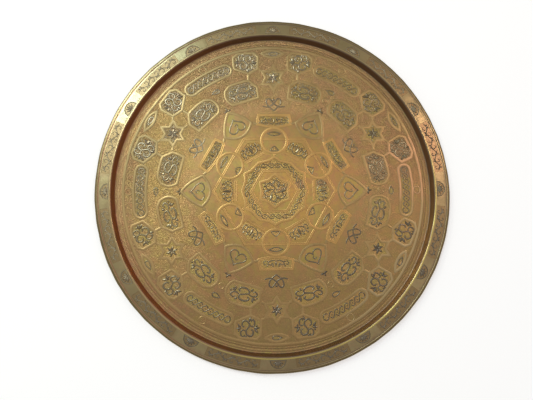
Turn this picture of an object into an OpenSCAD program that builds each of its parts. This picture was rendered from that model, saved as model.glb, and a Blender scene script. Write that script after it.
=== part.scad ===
// Round brass serving tray with silver and copper inlay.
// A single sheet of brass is raised into a flat well with a steep wall and a flat rim,
// and its edge is rolled over a wire. Copper strips outline the cells of a six-fold
// strapwork design, and silver strips fill the cells with scrolls, knots and leaves.
// The origin is under the middle of the tray, with +Z up.

/* [Sheet] */
// Outer diameter over the rolled edge
tray_d = 600; // [540:10:660]
// Thickness of the brass sheet
sheet_t = 1.2; // [1:0.1:1.6]
// Height of the rim's upper face over the well's upper face
well_depth = 11.4; // [9:0.2:14]
// Radius of the wall's mid height, as a share of the tray's radius
wall_share = 0.907; // [0.9:0.001:0.91]
// Lean of the wall from upright, in degrees
wall_lean = 18; // [12:1:22]
// Radius of the bend at the foot and at the top of the wall
bend_r = 1.8; // [1.6:0.1:2.2]

/* [Rolled edge] */
// Diameter of the wire inside the rolled edge
wire_d = 3; // [2.4:0.1:3.6]
// Angle left open where the rolled sheet stops under the rim
roll_gap = 50; // [40:5:70]

/* [Inlay] */
// Depth of the sunk cells and of the grooves that hold the strips
groove_depth = 0.4; // [0.3:0.05:0.5]
// Height that the copper strips stand over the sheet
strap_proud = 0.15; // [0.1:0.05:0.3]
// Height that the silver strips stand over the floor of their cell
silver_h = 0.45; // [0.35:0.05:0.6]
// Width of a copper strip
strap_w = 4.2; // [3.4:0.2:4.4]
// Width of a silver strip
silver_w = 1.7; // [1.3:0.1:2]
// Width of the rings round the small bosses
boss_strap_w = 1.8; // [1.4:0.2:2.2]

/* [Hidden] */

// The design is drawn for a tray of 300 mm radius, and every outline is scaled by u.
design_r = 300;
tray_r = tray_d / 2;
u = tray_r / design_r;

floor_z = sheet_t;
rim_z = floor_z + well_depth;

// The sheet bends on two centres, and the wall's straight part is tangent to both bends.
bend_outer_r = bend_r + sheet_t;
bends = bend_r + bend_outer_r;
wall_run = bends * cos(wall_lean) + tan(wall_lean) * (well_depth - bends + bends * sin(wall_lean));
floor_r = tray_r * wall_share - wall_run / 2;
rim_r = tray_r * wall_share + wall_run / 2;

wire_r = wire_d / 2;
roll_r = wire_r + sheet_t;
roll_x = tray_r - roll_r;
roll_z = rim_z - roll_r;
bend_steps = 6;

// The design repeats six times. Its motifs sit on two sets of spokes, half a repeat apart.
sixth = 60;
half_sixth = sixth / 2;
hearts = [0:sixth:300];
cartouches = [half_sixth:sixth:330];

// Facets round the turned shapes, and how far a cutter runs past the face it cuts.
around = 240;
wire_facets = 48;
past = 1;

brass = "#a5793c";
copper = "#c98a5a";
silver = "#8d9296";
iron = "#6b5a45";

// ---- Outlines: lists of [x, y] points, in the design's own millimetres ----

function polar(r, a) = r * [cos(a), sin(a)];
function arc(c, r, a0, a1, n) = [for (i = [0:n]) c + polar(r, a0 + (a1 - a0) * i / n)];
function loop(c, r, n) = [for (i = [0:n - 1]) c + polar(r, 360 * i / n)];
function moved(pts, v) = [for (p = pts) p + v];
function turned(pts, a) = [for (p = pts) [p.x * cos(a) - p.y * sin(a), p.x * sin(a) + p.y * cos(a)]];
function mirrored(pts) = [for (i = [len(pts) - 1:-1:0]) [-pts[i].x, pts[i].y]];
function both_sides(half) = concat(half, mirrored(half));
function left_of(v) = [-v.y, v.x] / norm(v);

// The corner b of a line a-b-c, moved by d to its left.
function corner(a, b, c, d) =
    let (n1 = left_of(b - a), n2 = left_of(c - b)) b + (n1 + n2) * d / (1 + n1 * n2);

// A closed outline, run anticlockwise, moved inwards by d.
function inset(pts, d) =
    let (n = len(pts))
    [for (i = [0:n - 1]) corner(pts[(i + n - 1) % n], pts[i], pts[(i + 1) % n], d)];

// One side of an open line, d to its left, thinned to (1 - taper) of d at its far end.
function side(pts, d, taper) =
    let (n = len(pts) - 1)
    [for (i = [0:n]) let (w = d * (1 - taper * i / n))
        i == 0 ? pts[0] + left_of(pts[1] - pts[0]) * w :
        i == n ? pts[n] + left_of(pts[n] - pts[n - 1]) * w :
        corner(pts[i - 1], pts[i], pts[i + 1], w)];

// An open line as a strip of width w.
function strip(pts, w, taper = 0) =
    let (a = side(pts, w / 2, taper), b = side(pts, -w / 2, taper), n = len(b) - 1)
    concat(b, [for (i = [n:-1:0]) a[i]]);

// A drop of length l and width w, with its point at +Y.
function drop(l, w, n = 10) =
    [for (i = [0:n - 1]) let (t = 360 * i / n) [-0.64 * w * sin(t) * sin(t / 2), l / 2 * cos(t)]];

// A pointed oval of length l along X and width w.
function lens(l, w, n = 5) =
    let (r = (l * l / 4 + w * w / 4) / w, a = asin(l / 2 / r))
    concat(arc([0, r - w / 2], r, -90 - a, -90 + a, n),
        [for (i = [1:n - 1]) [0, w / 2 - r] + polar(r, 90 - a + 2 * a * i / n)]);

// A heart of width w and height h, with its point at +Y.
function heart(w, h, n = 18) =
    [for (i = [0:n - 1]) let (t = 360 * (i + 0.5) / n)
        [-w / 2 * pow(sin(t), 3),
            -h / 29 * (2.5 + 13 * cos(t) - 5 * cos(2 * t) - 2 * cos(3 * t) - cos(4 * t))]];

// A tendril that winds from radius r0 in to r1 about c.
function tendril(c, r0, r1, a0, turn, n = 7) =
    [for (i = [0:n]) c + polar(r0 + (r1 - r0) * i / n, a0 + turn * i / n)];

// A wave along X, centred at x = 0.
function wave(l, h, turns, n) =
    [for (i = [0:n]) [l * (i / n - 0.5), h * sin(360 * turns * i / n)]];

// A curve from p to q that bulges to its right by s at the middle.
function bow(p, q, s, n) =
    [for (i = [0:n]) let (t = i / n) p + (q - p) * t - left_of(q - p) * 4 * s * t * (1 - t)];

// A line without its first point, and without its last one unless keep is 1.
function open_end(pts, keep = 1) = [for (i = [1:len(pts) - 2 + keep]) pts[i]];

// A line along X laid along the arc of radius r, with y outwards.
function bent(pts, r) = [for (p = pts) polar(r + p.y, 90 - p.x / r * 180 / PI)];

// ---- Outlines of the cells, each on the +Y spoke ----

star_loop = [for (i = [0:11]) polar(i % 2 == 0 ? 29 : 22.2, 90 + half_sixth * i)];
hexagon_loop = [for (i = [0:5]) polar(40, sixth * i)];
ring_loop = [for (i = [0:5], p = [[56, 0], [53.4, 19.2], [59, 30], [53.4, 40.8]])
    polar(p[0], sixth * i + p[1])];
great_hexagon_loop = [for (i = [0:5]) polar(104.6, sixth * i)];

circle_at = [0, 88];
circle_r = 22;
petal_y = 66.5;
petal_half = 18;

panel_loop = both_sides([[18.5, 70.5], [19.6, 80], [17, 87.5], [1, 95]]);
inner_cartouche_loop = concat([[27, 133], [-27, 133]], bow([-29, 117], [29, 117], 2.4, 8));
heart_frame_loop = concat(
    bow([-26.2, 123.2], [26.2, 123.2], 13.2, 8), open_end(bow([26.2, 123.2], [0, 159], 3, 5)),
    open_end(bow([0, 159], [-26.2, 123.2], 3, 5), 0));
cartouche_loop = concat(
    [[28.5, 184], [25.6, 164]], bow([71, 151], [84, 175.5], 5.2, 6),
    bow([77.5, 184.5], [43.5, 195], 1.6, 3));
star_at = [0, 200.7];
star_cell_loop = moved([for (i = [0:11]) polar(i % 2 == 0 ? 22 : 13, 90 + half_sixth * i)], star_at);
roundel_loop = [[34, 246.5], [26.6, 239.4], [26.6, 216.5], [43.5, 208], [68.5, 217.5], [70.3, 236.5],
    [62.5, 243.5]];
roundel_at = [49.5, 230];
chain_mid_r = 228.5;
chain_half_h = 10.5;
chain_half_a = 8.6;
link_a = 2.95;
chain_loop = concat(
    [for (i = [0:10]) polar(chain_mid_r - chain_half_h, 90 - chain_half_a + 2 * chain_half_a * i / 10)],
    turned([for (i = [1:4]) [0, chain_mid_r] + polar(chain_half_h, -90 - 36 * i)], chain_half_a),
    [for (i = [0:10]) polar(chain_mid_r + chain_half_h, 90 + chain_half_a - 2 * chain_half_a * i / 10)],
    turned([for (i = [1:4]) [0, chain_mid_r] + polar(chain_half_h, 90 - 36 * i)], -chain_half_a));
leaf_at = [0, 244.6];
leaf_cell_loop = moved(lens(38, 12.5), leaf_at);

// Twelve domes and twelve scrolls take turns along the rim.
domes = [0:half_sixth:330];
scrolls = [half_sixth / 2:half_sixth:345];
rim_in = 277.5;
rim_out = 291.5;
dome_r = 13.5;
dome_loop = concat([[-dome_r, rim_in], [dome_r, rim_in]], arc([0, rim_in], dome_r, 12, 168, 8));
scroll_half_a = 9.1;
rim_scroll_loop = concat(
    [for (i = [0:12]) polar(rim_in, 90 - scroll_half_a + 2 * scroll_half_a * i / 12)],
    [for (i = [0:12]) polar(rim_out, 90 + scroll_half_a - 2 * scroll_half_a * i / 12)]);

border_r = 256;
small_boss_at = [0, 184];
small_boss_r = 5;
outer_boss_at = [0, 247.5];
outer_boss_r = 5.1;

// Both sides of each +Y spoke carry a cartouche and a roundel.
sides = [0, 1];

// ---- Solids ----

// A flat plate of an outline, from z0 up to z1.
module plate(pts, z0, z1)
    translate([0, 0, z0]) linear_extrude(z1 - z0) polygon(u * pts);

// A strip of width w that runs along a closed outline.
module band(pts, w, z0, z1) {
    n = len(pts);
    translate([0, 0, z0]) linear_extrude(z1 - z0)
        polygon(u * concat(inset(pts, -w / 2), inset(pts, w / 2)),
            paths = [[for (i = [0:n - 1]) i], [for (i = [0:n - 1]) n + i]]);
}

// A flat plate of one outline with another cut out of it.
module hoop(outer, inner, z0, z1) {
    n = len(outer);
    translate([0, 0, z0]) linear_extrude(z1 - z0)
        polygon(u * concat(outer, inner),
            paths = [[for (i = [0:n - 1]) i], [for (i = [0:len(inner) - 1]) n + i]]);
}

// A round strip about c.
module ring(c, r, w, z0, z1)
    translate([u * c.x, u * c.y, z0]) difference() {
        cylinder(h = z1 - z0, r = u * (r + w / 2), $fn = 48 + r);
        translate([0, 0, -past]) cylinder(h = z1 - z0 + 2 * past, r = u * (r - w / 2), $fn = 48 + r);
    }

// Motifs are drawn on the +Y spoke and repeated on the spokes at these angles.
module on(spokes) for (a = spokes) rotate(a - 90) children();
module either_side() for (s = sides) mirror([s, 0, 0]) children();

cell_z = floor_z - groove_depth;
rim_cell_z = rim_z - groove_depth;
strap_z = floor_z + strap_proud;
silver_z = cell_z + silver_h;
rim_silver_z = rim_cell_z + silver_h;

module strap_band(pts) band(pts, strap_w, cell_z, strap_z);
module strap_line(pts) plate(strip(pts, strap_w), cell_z, strap_z);
module silver_hoop(outer, inner) hoop(outer, inner, cell_z, silver_z);
module silver_line(pts, taper = 0.4) plate(strip(pts, silver_w, taper), cell_z, silver_z);
module silver_plate(pts) plate(pts, cell_z, silver_z);

// A cell sunk in the sheet, wide enough to take its strap.
module sunk(pts, w = strap_w) plate(inset(pts, -w / 2), cell_z, floor_z + past);
module groove_line(pts) plate(strip(pts, strap_w), cell_z, floor_z + past);

// ---- The sheet and its wire ----

function bend(c, r, a0, a1) = arc(c, r, a0, a1, bend_steps);

// Half section of the sheet: up the outer face, and back down the inner one.
module sheet_section() {
    foot = [floor_r, floor_z + bend_r];
    top = [rim_r, rim_z - bend_outer_r];
    foot_end = 360 - wall_lean;
    top_end = 180 - wall_lean;
    polygon(concat(
        [[0, 0]], bend(foot, bend_outer_r, 270, foot_end), bend(top, bend_r, top_end, 90),
        [[roll_x, rim_z - sheet_t], [roll_x, rim_z]],
        bend(top, bend_outer_r, 90, top_end), bend(foot, bend_r, foot_end, 270), [[0, floor_z]]));
    translate([roll_x, roll_z]) difference() {
        circle(r = roll_r, $fn = wire_facets);
        circle(r = wire_r, $fn = wire_facets);
        polygon([[0, 0], 2 * roll_r * [-1, 0], 2 * roll_r * [-1, 1], 2 * roll_r * [0, 1]]);
        polygon([[0, 0], 2 * roll_r * [cos(180 + roll_gap), sin(180 + roll_gap)], 2 * roll_r * [-1, 0]]);
    }
}

petal_line = [[-petal_half, petal_y], [petal_half, petal_y]];
petal_spur = [[0, 61.9], [0, 63.6]];
link_lines = [
    [[31.6, 118.4], [35.4, 119.5]],
    [[43.5, 197.6], [43.5, 205.4]],
    [[22.5, 214.3], [24.2, 215.1]],
    [[22.6, 187.6], [24.4, 186.9]],
];

module floor_pockets() {
    sunk(ring_loop);
    on(cartouches) {
        ring(circle_at, circle_r, strap_w, cell_z, floor_z + past);
        sunk(inner_cartouche_loop);
        sunk(star_cell_loop);
        sunk(leaf_cell_loop);
        plate(bud_loop, cell_z, floor_z + past);
        plate(lens_loop, cell_z, floor_z + past);
        plate(knot_loop, cell_z, floor_z + past);
        groove_line(petal_spur);
        either_side() {
            sunk(cartouche_loop);
            sunk(roundel_loop);
            plate(strip(knot_tail, silver_w), cell_z, floor_z + past);
            for (line = link_lines) groove_line(line);
        }
    }
    on(hearts) {
        groove_line(petal_line);
        plate(panel_loop, cell_z, floor_z + past);
        sunk(heart_frame_loop);
        sunk(chain_loop);
        plate(drop_loop, cell_z, floor_z + past);
        plate(trefoil_loop, cell_z, floor_z + past);
        ring(small_boss_at, small_boss_r, boss_strap_w, cell_z, floor_z + past);
        ring(outer_boss_at, outer_boss_r, boss_strap_w, cell_z, floor_z + past);
    }
    great_hexagon_bars(floor_z + past);
    ring([0, 0], border_r, strap_w, cell_z, floor_z + past);
}

module rim_pockets() {
    on(domes) plate(inset(dome_loop, -silver_w / 2), rim_cell_z, rim_z + past);
    on(scrolls) plate(inset(rim_scroll_loop, -silver_w / 2), rim_cell_z, rim_z + past);
}

module tray_sheet()
    color(brass) difference() {
        rotate_extrude($fn = around) sheet_section();
        floor_pockets();
        rim_pockets();
    }

module edge_wire()
    color(iron) rotate_extrude($fn = around)
        translate([roll_x, roll_z]) circle(r = wire_r, $fn = wire_facets);

// ---- Copper strapwork ----

module centre_star_strap() color(copper) strap_band(star_loop);
module centre_hexagon_strap() color(copper) strap_band(hexagon_loop);
module border_ring_strap() color(copper) strap_band(ring_loop);
module outer_border_strap() color(copper) ring([0, 0], border_r, strap_w, cell_z, strap_z);

module petal_cell_straps() color(copper) {
    on(hearts) strap_line(petal_line);
    on(cartouches) strap_line(petal_spur);
}

module circle_straps()
    color(copper) on(cartouches) ring(circle_at, circle_r, strap_w, cell_z, strap_z);

// The great hexagon's sides are cut where the circles cross them.
module great_hexagon_bars(z1)
    difference() {
        band(great_hexagon_loop, strap_w, cell_z, z1);
        on(cartouches) ring(circle_at, circle_r, strap_w, cell_z - past, z1 + past);
    }

module great_hexagon_straps() color(copper) great_hexagon_bars(strap_z);
module inner_cartouche_straps() color(copper) on(cartouches) strap_band(inner_cartouche_loop);
module heart_frame_straps() color(copper) on(hearts) strap_band(heart_frame_loop);
module cartouche_straps() color(copper) on(cartouches) either_side() strap_band(cartouche_loop);
module star_straps() color(copper) on(cartouches) strap_band(star_cell_loop);
module roundel_straps() color(copper) on(cartouches) either_side() strap_band(roundel_loop);
module chain_cartouche_straps() color(copper) on(hearts) strap_band(chain_loop);
module outer_leaf_straps() color(copper) on(cartouches) strap_band(leaf_cell_loop);

module small_boss_straps()
    color(copper) on(hearts) ring(small_boss_at, small_boss_r, boss_strap_w, cell_z, strap_z);

module outer_boss_straps()
    color(copper) on(hearts) ring(outer_boss_at, outer_boss_r, boss_strap_w, cell_z, strap_z);

module cell_link_straps()
    color(copper) on(cartouches) either_side() for (line = link_lines) strap_line(line);

// ---- Silver inlay ----

bud_at = [0, 73.8];
lens_at = [0, 100];
heart_at = [0, 132];
knot_at = [0, 154];
trefoil_at = [0, 166.6];
drop_at = [0, 201.5];
bud_loop = moved([[7.8, -3.6], [7, -1], [2.5, 4], [-2.5, 4], [-7, -1], [-7.8, -3.6]], bud_at);
lens_loop = moved(lens(24, 8), lens_at);
heart_loop = moved(heart(31, 26.4), heart_at);
heart_hook = [[0.3, -4.3], [1.9, -2.3], [2.1, 0.4], [0.2, 1.9], [-1.9, 1]];
knot_loop = moved(heart(25.5, 22.5), knot_at);
knot_tail = [[9, 148.2], [13, 147.6], [18.5, 149]];
trefoil_loop = moved(turned(drop(9, 6), 180), trefoil_at);
drop_loop = moved(turned(drop(17, 8.4), 90), drop_at);

module centre_medallion_inlay() color(silver) {
    silver_hoop(loop([0, 0], 4.8, 12), loop([0, 0], 3, 12));
    on(cartouches) {
        silver_hoop(moved(drop(12, 8), [0, 14]), moved(drop(6.5, 4.4), [0, 13.6]));
        either_side() silver_line(tendril([5.4, 13.1], 2.6, 1, 250, -300));
    }
}

// A chain of oval links, on a hexagon with soft corners.
module chain_border_inlay() color(silver)
    for (a = [0:15:345]) on([a])
        translate(u * [0, 46 + 2 * cos(6 * a)]) silver_hoop(lens(11.2, 7.2, 4), lens(6.6, 3.6, 4));

module scroll_pair(y, w, h) {
    either_side() {
        silver_line(tendril([w * 0.45, y + h * 0.1], h * 0.42, h * 0.14, 240, 330));
        silver_plate(moved(turned(drop(h * 0.5, h * 0.26), -50), [w * 0.84, y + h * 0.2]));
    }
    silver_plate(moved(drop(h * 0.8, h * 0.36), [0, y]));
}

module panel_inlays() color(silver) on(hearts) scroll_pair(81, 15.5, 16);
module bud_inlays() color(silver) on(cartouches)
    silver_hoop(bud_loop, moved([[4.6, -1.9], [1.6, 1.8], [-1.6, 1.8], [-4.6, -1.9]], bud_at));
module lens_inlays() color(silver) on(cartouches) silver_hoop(lens_loop, moved(lens(16, 3.6), lens_at));
module inner_cartouche_inlays() color(silver) on(cartouches) scroll_pair(123.5, 22, 12);

module heart_inlays() color(silver) on(hearts) {
    silver_hoop(heart_loop, moved(heart(26.6, 21.6), heart_at));
    silver_line(moved(heart_hook, heart_at));
}

module knot_inlays() color(silver) on(cartouches) {
    silver_hoop(knot_loop, moved(heart(21, 17.5), knot_at));
    silver_plate(moved(drop(7, 5), knot_at + [0, 1]));
    either_side() silver_line(knot_tail, 0);
}

module trefoil_inlays() color(silver) on(hearts) silver_plate(trefoil_loop);
module star_inlays() color(silver) on(cartouches) {
    silver_hoop(moved(drop(14, 9), star_at), moved(drop(8, 5), star_at - [0, 0.4]));
    either_side() silver_plate(moved(turned(drop(6, 3), -65), star_at + [8, 0]));
}
module drop_inlays() color(silver) on(hearts)
    silver_hoop(drop_loop, moved(turned(drop(10.5, 4.4), 90), drop_at));
module outer_leaf_inlays() color(silver) on(cartouches)
    silver_hoop(moved(turned(drop(17, 7.4), 90), leaf_at), moved(turned(drop(10.5, 3.8), 90), leaf_at));

// A wavy stem with leaves in its bends, along the local X axis.
module running_scroll(l, h, turns, leaf) {
    silver_line(wave(l, h, turns, 8 * turns), 0);
    for (i = [0:2 * turns - 1]) {
        s = i % 2 == 0 ? -1 : 1;
        place = [l * ((i + 0.5) / (2 * turns) - 0.5), s * h * 0.55];
        silver_plate(moved(turned(drop(leaf, leaf * 0.5), s * 60), place));
    }
}

module cartouche_inlays() color(silver) on(cartouches) either_side()
    translate(u * [55.5, 172.5]) rotate(-16) running_scroll(44, 5.4, 2, 7.5);

module roundel_inlays() color(silver) on(cartouches) either_side() translate(u * roundel_at) {
    for (a = [0:72:288]) rotate(a) silver_line(tendril([0, 8.7], 4.9, 1.6, 200, 330), 0.3);
    silver_hoop(loop([0, 0], 3.6, 8), loop([0, 0], 2, 8));
}

module chain_cartouche_inlays() color(silver) on(hearts) for (i = [-3:3])
    rotate(i * link_a) translate(u * [0, chain_mid_r]) silver_hoop(lens(11.4, 8.6, 4), lens(7, 5, 4));

// ---- Rim inlay ----

module rim_line(pts, taper = 0) plate(strip(pts, silver_w, taper), rim_cell_z, rim_silver_z);
module rim_plate(pts) plate(pts, rim_cell_z, rim_silver_z);

module rim_dome_inlays() color(silver) on(domes) {
    band(dome_loop, silver_w, rim_cell_z, rim_silver_z);
    for (a = [-45, 0, 45]) translate(u * [0, rim_in + 1.5]) rotate(a)
        rim_plate(moved(drop(7, 3.4), [0, 5.5]));
}

module rim_scroll_inlays() color(silver) on(scrolls) {
    rim_line(bent(wave(80, 4, 3, 24), (rim_in + rim_out) / 2));
    for (i = [0:5]) rotate((2.5 - i) * 2.72) {
        s = i % 2 == 0 ? -1 : 1;
        rim_plate(moved(turned(drop(7, 3.6), s * 60), [0, (rim_in + rim_out) / 2 + s * 1.6]));
    }
}

tray_sheet();
edge_wire();
centre_star_strap();
centre_hexagon_strap();
border_ring_strap();
petal_cell_straps();
circle_straps();
great_hexagon_straps();
inner_cartouche_straps();
heart_frame_straps();
cartouche_straps();
small_boss_straps();
star_straps();
cell_link_straps();
roundel_straps();
chain_cartouche_straps();
outer_boss_straps();
outer_leaf_straps();
outer_border_strap();
centre_medallion_inlay();
chain_border_inlay();
panel_inlays();
bud_inlays();
lens_inlays();
inner_cartouche_inlays();
heart_inlays();
knot_inlays();
trefoil_inlays();
cartouche_inlays();
star_inlays();
drop_inlays();
roundel_inlays();
chain_cartouche_inlays();
outer_leaf_inlays();
rim_dome_inlays();
rim_scroll_inlays();
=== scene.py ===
"""An old brass tray with copper strapwork and silver scroll inlay, lying on a pale floor.

Outlines are drawn in design millimetres on a tray of 300 mm radius, each motif on the +Y spoke.
They are then repeated round the tray, given thickness, and fitted to the frame's own size.
"""

import math

import bmesh
import bpy
import numpy as np
from mathutils import Matrix, Vector
from mathutils.geometry import delaunay_2d_cdt


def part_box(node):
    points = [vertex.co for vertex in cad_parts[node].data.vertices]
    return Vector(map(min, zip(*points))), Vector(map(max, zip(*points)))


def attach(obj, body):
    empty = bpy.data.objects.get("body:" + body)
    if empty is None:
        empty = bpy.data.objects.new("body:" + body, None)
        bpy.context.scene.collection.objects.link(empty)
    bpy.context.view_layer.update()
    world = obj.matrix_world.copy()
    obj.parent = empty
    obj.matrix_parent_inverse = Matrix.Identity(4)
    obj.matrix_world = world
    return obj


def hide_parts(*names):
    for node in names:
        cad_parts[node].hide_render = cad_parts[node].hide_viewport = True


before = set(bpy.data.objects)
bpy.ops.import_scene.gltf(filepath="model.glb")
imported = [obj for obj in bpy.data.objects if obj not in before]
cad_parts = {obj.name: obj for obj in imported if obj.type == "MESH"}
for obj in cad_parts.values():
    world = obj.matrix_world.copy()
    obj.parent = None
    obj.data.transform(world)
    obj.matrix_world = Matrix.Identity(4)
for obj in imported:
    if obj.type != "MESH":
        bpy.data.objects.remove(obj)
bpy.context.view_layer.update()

# ---- Sizes, in design millimetres ----

DESIGN_R = 300.0
SHEET_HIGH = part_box("tray_sheet")[1]
MM = SHEET_HIGH.x / DESIGN_R
RIM_Z = SHEET_HIGH.z / MM
SHEET_T = 1.2
FLOOR_Z = SHEET_T

WALL_MID_R = 0.907 * DESIGN_R
WALL_LEAN = math.radians(18)
BEND_R = 1.8
BEND_OUTER_R = BEND_R + SHEET_T
WIRE_R = 1.5
ROLL_R = WIRE_R + SHEET_T
ROLL_X = DESIGN_R - ROLL_R
ROLL_Z = RIM_Z - ROLL_R
ROLL_OPEN = math.radians(50)
EDGE_X, EDGE_Z = 295.4, RIM_Z - 0.12

GROOVE_DEPTH = 0.4
GROOVE_SLOPE = 0.25
GROOVE_SPARE = 0.12
STRAP_W = 4.4
BOSS_W = 1.8
STRAP_PROUD = 0.22
SILVER_PROUD = 0.12
FIELD_SILVER_PROUD = 0.26
STRIP_BEVEL = 0.2
UNEVEN_TOP = 0.03
AROUND = 480
FLOOR_GRID, RIM_GRID = 7.0, 5.0

HEARTS = range(0, 360, 60)
CARTOUCHES = range(30, 390, 60)
WORN_SPOKES = (210, 240, 270, 300, 330)

rng = np.random.RandomState(11)


# ---- Outlines ----

def xy(points):
    return np.asarray(points, float)


def polar(r, degrees):
    a = math.radians(degrees)
    return np.array([r * math.cos(a), r * math.sin(a)])


def arc(centre, r, a0, a1, n):
    return np.array([polar(r, a) for a in np.linspace(a0, a1, n + 1)]) + centre


def loop(centre, r, n):
    return arc(centre, r, 0, 360, n)[:-1]


def moved(points, by):
    return xy(points) + xy(by)


def turned(points, degrees):
    a = math.radians(degrees)
    return xy(points) @ np.array([[math.cos(a), math.sin(a)], [-math.sin(a), math.cos(a)]])


def anticlockwise(points):
    x, y = xy(points).T
    area = (x * np.roll(y, -1) - np.roll(x, -1) * y).sum()
    return xy(points) if area > 0 else xy(points)[::-1]


def left_of(v):
    n = np.stack([-v[..., 1], v[..., 0]], -1)
    return n / np.maximum(np.linalg.norm(n, axis=-1, keepdims=True), 1e-9)


def bow(p, q, rise, n):
    """A curve from p to q that bulges to its right by rise."""
    p, q = xy(p), xy(q)
    t = np.linspace(0, 1, n + 1)[:, None]
    return p + (q - p) * t - left_of(q - p) * 4 * rise * t * (1 - t)


def smooth(points, per=6):
    """A Catmull-Rom curve through the points."""
    p = xy(points)
    p = np.concatenate([2 * p[:1] - p[1:2], p, 2 * p[-1:] - p[-2:-1]])
    t = np.linspace(0, 1, per, endpoint=False)[:, None]
    out = [0.5 * (2 * b + (c - a) * t + (2 * a - 5 * b + 4 * c - d) * t**2 + (3 * b - a - 3 * c + d) * t**3)
           for a, b, c, d in zip(p[:-3], p[1:-2], p[2:-1], p[3:])]
    return np.concatenate(out + [p[-2:-1]])


def offset(points, by, closed=True):
    """The line moved by `by` to its left, which is inwards on an anticlockwise outline."""
    p = xy(points)
    by = np.broadcast_to(xy(by), (len(p),))[:, None]
    ahead = left_of(np.roll(p, -1, 0) - p)
    behind = np.roll(ahead, 1, 0)
    if not closed:
        ahead[-1], behind[0] = behind[-1], ahead[0]
    share = 1 + (ahead * behind).sum(1, keepdims=True)
    return p + (ahead + behind) * by / np.maximum(share, 0.35)


def grown(outline, by):
    return offset(anticlockwise(outline), -by)


def thickened(points, half):
    """The outline of an open line with the given half width."""
    return np.concatenate([offset(points, -half, False), offset(points, half, False)[::-1]])


def drop(length, width, n=20):
    """A drop with its point at +Y."""
    t = np.linspace(0, 2 * math.pi, n, endpoint=False)
    return np.stack([-0.64 * width * np.sin(t) * np.sin(t / 2), length / 2 * np.cos(t)], 1)


def lens(length, width, n=12):
    r = (length**2 + width**2) / (4 * width)
    a = math.degrees(math.asin(length / 2 / r))
    low = arc((0, r - width / 2), r, -90 - a, -90 + a, n)
    return np.concatenate([low, -low[1:-1]])


def heart(width, height, n=40):
    """A heart with its point at +Y."""
    t = 2 * math.pi * (np.arange(n) + 0.5) / n
    y = 2.5 + 13 * np.cos(t) - 5 * np.cos(2 * t) - 2 * np.cos(3 * t) - np.cos(4 * t)
    return np.stack([-width / 2 * np.sin(t) ** 3, -height / 29 * y], 1)


def leaf(length, width, bend=0.0, n=9):
    """A pointed leaf that starts at the origin and grows along +Y, bent to one side."""
    t = np.linspace(0, 1, n)
    mid = np.stack([bend * length * t**2, length * t], 1)
    return thickened(mid, 0.5 * width * np.sin(math.pi * t**0.8) + 0.12)


def spiral(start, centre, turns, end_r, n=26):
    """A tendril from start that winds in about centre; turns is negative when it runs clockwise."""
    out = xy(start) - xy(centre)
    r0, a0 = np.hypot(*out), math.atan2(out[1], out[0])
    t = np.linspace(0, 1, n)[:, None]
    r, a = r0 + (end_r - r0) * t**0.9, a0 + 2 * math.pi * turns * t
    return centre + r * np.concatenate([np.cos(a), np.sin(a)], 1)


def bent(points, r):
    """A line along X laid along the arc of radius r, with y outwards."""
    x, y = xy(points).T
    a = math.pi / 2 - x / r
    return (r + y)[:, None] * np.stack([np.cos(a), np.sin(a)], 1)


def inside(points, outline):
    """Which points lie inside the outline, by the even-odd rule."""
    low, high = outline.min(0), outline.max(0)
    near = np.nonzero(((points >= low) & (points <= high)).all(1))[0]
    hit = np.zeros(len(points), bool)
    if len(near):
        x, y = points[near].T
        odd = np.zeros(len(near), bool)
        for (x1, y1), (x2, y2) in zip(outline, np.roll(outline, -1, 0)):
            if y1 != y2:
                odd ^= ((y1 > y) != (y2 > y)) & (x < (x2 - x1) * (y - y1) / (y2 - y1) + x1)
        hit[near] = odd
    return hit


# ---- Cells of the strapwork, each on the +Y spoke ----

def star(point_r, notch_r):
    return np.array([polar(notch_r if i % 2 else point_r, 90 + 30 * i) for i in range(12)])


def hexagon(r):
    return np.array([polar(r, 60 * i) for i in range(6)])


STAR, HEXAGON, GREAT_HEXAGON = star(29, 22.2), hexagon(40), hexagon(104.6)
BORDER_RING = np.array([polar(r, 60 * i + a) for i in range(6)
                        for r, a in ((56, 0), (53.4, 19.2), (59, 30), (53.4, 40.8))])
CIRCLE_Y, CIRCLE_R = 88, 22
CIRCLE = loop((0, CIRCLE_Y), CIRCLE_R, 56)
PETAL_LINE, PETAL_SPUR = [(-18, 66.5), (18, 66.5)], [(0, 61.6), (0, 63.8)]
PANEL = [(18.5, 70.5), (20.5, 80), (17, 87.5), (1, 95), (-1, 95), (-17, 87.5), (-20.5, 80), (-18.5, 70.5)]
INNER_CARTOUCHE = np.concatenate([[(27, 133), (-27, 133)], bow((-29, 117), (29, 117), 4.5, 12)])
HEART_CELL = np.concatenate([bow((-26.2, 123.2), (26.2, 123.2), 13.2, 14),
                             bow((26.2, 123.2), (0, 159), 3, 8)[1:],
                             bow((0, 159), (-26.2, 123.2), 3, 8)[1:-1]])
CARTOUCHE = np.concatenate([[(28.5, 184), (25.6, 164)], bow((71, 151), (84, 175.5), 5.2, 10),
                            bow((77.5, 184.5), (43.5, 195), 1.6, 5)])
STAR_AT, ROUNDEL_AT, LEAF_AT = (0, 200.7), (48.6, 228.6), (0, 245)
STAR_CELL, LEAF_CELL = moved(star(22, 13), STAR_AT), moved(lens(38, 12.5), LEAF_AT)
ROUNDEL = [(34, 246.5), (26.6, 239.4), (26.6, 216.5), (43.5, 208),
           (68.5, 217.5), (70.3, 236.5), (62.5, 243.5)]
LINKS = [[(29.5, 117.6), (36, 119.5)], [(43.5, 196.7), (43.5, 206.2)],
         [(20.5, 213.5), (25, 215.5)], [(20.5, 188.5), (25.3, 186.5)]]
BORDER_R = 256.0
SMALL_BOSS, OUTER_BOSS = loop((0, 184), 5, 28), loop((0, 247), 6, 28)

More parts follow.
